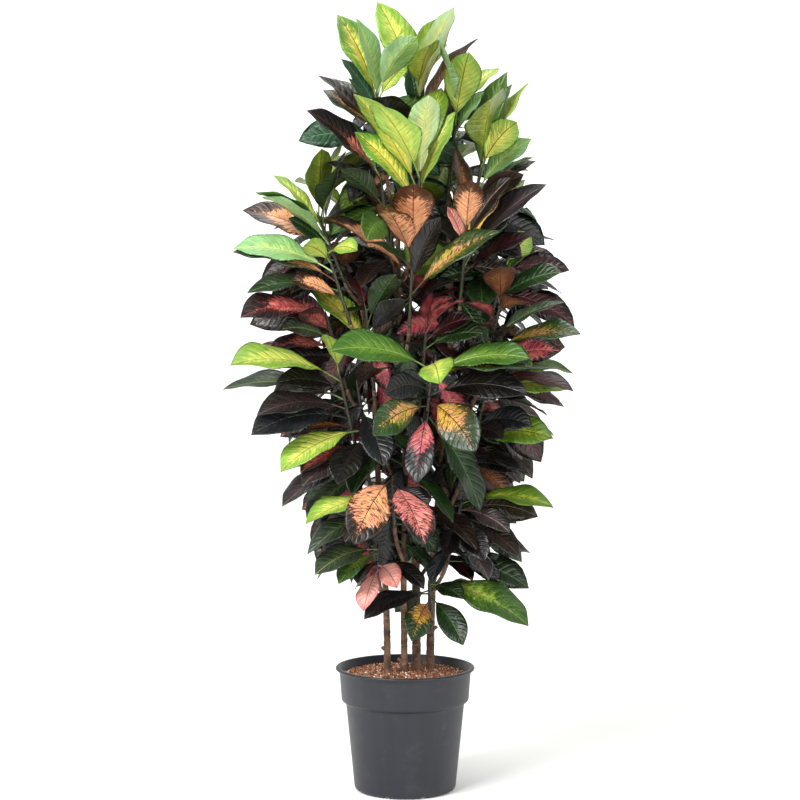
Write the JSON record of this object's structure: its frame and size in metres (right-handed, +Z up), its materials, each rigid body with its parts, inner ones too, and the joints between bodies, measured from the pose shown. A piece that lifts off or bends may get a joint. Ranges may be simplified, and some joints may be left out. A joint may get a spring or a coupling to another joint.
{
  "type": "potted croton",
  "caption": "Tall bushy croton house plant with lime, gold, salmon and near-black leaves, growing in a dark round plastic grower's pot.",
  "frame": {"origin": "on the floor, at the middle of the underside of the pot", "axes": "+Z up the plant, the front of the plant looks along -Y, +X to the right as seen from the front"},
  "size_m": [0.6797, 0.5496, 1.5304],
  "materials": {
    "pot_plastic": "matte",
    "potting_soil": "rough",
    "bark": "rough",
    "croton_leaf": "satin"
  },
  "bodies": {
    "root": {"pot": "pot_plastic", "shoot_back_crown": "croton_leaf", "shoot_back_foot_left": "croton_leaf", "shoot_back_foot_right": "croton_leaf", "shoot_back_left_high": "croton_leaf", "shoot_back_left_low": "croton_leaf", "shoot_back_low": "croton_leaf", "shoot_back_middle": "croton_leaf", "shoot_back_right_high": "croton_leaf", "shoot_back_right_low": "croton_leaf", "shoot_back_right_mid": "croton_leaf", "shoot_back_top": "croton_leaf", "shoot_centre_ember": "croton_leaf", "shoot_centre_left": "croton_leaf", "shoot_centre_low": "croton_leaf", "shoot_centre_red": "croton_leaf", "shoot_crown_front": "croton_leaf", "shoot_foot": "croton_leaf", "shoot_front_pink": "croton_leaf", "shoot_inner_foot": "croton_leaf", "shoot_inner_high": "croton_leaf", "shoot_inner_left": "croton_leaf", "shoot_inner_low": "croton_leaf", "shoot_inner_middle": "croton_leaf", "shoot_inner_right": "croton_leaf", "shoot_left_base": "croton_leaf", "shoot_left_low": "croton_leaf", "shoot_left_lower": "croton_leaf", "shoot_left_mid": "croton_leaf", "shoot_left_red": "croton_leaf", "shoot_left_upper": "croton_leaf", "shoot_right_base": "croton_leaf", "shoot_right_brown": "croton_leaf", "shoot_right_ember": "croton_leaf", "shoot_right_low": "croton_leaf", "shoot_right_lower": "croton_leaf", "shoot_right_mid": "croton_leaf", "shoot_shoulder_left": "croton_leaf", "shoot_shoulder_right": "croton_leaf", "shoot_top_left": "croton_leaf", "shoot_top_middle": "croton_leaf", "shoot_top_right": "croton_leaf", "soil": "potting_soil", "trunk_back": "bark", "trunk_front": "bark", "trunk_left": "bark", "trunk_right": "bark"}
  },
  "joints": []
}
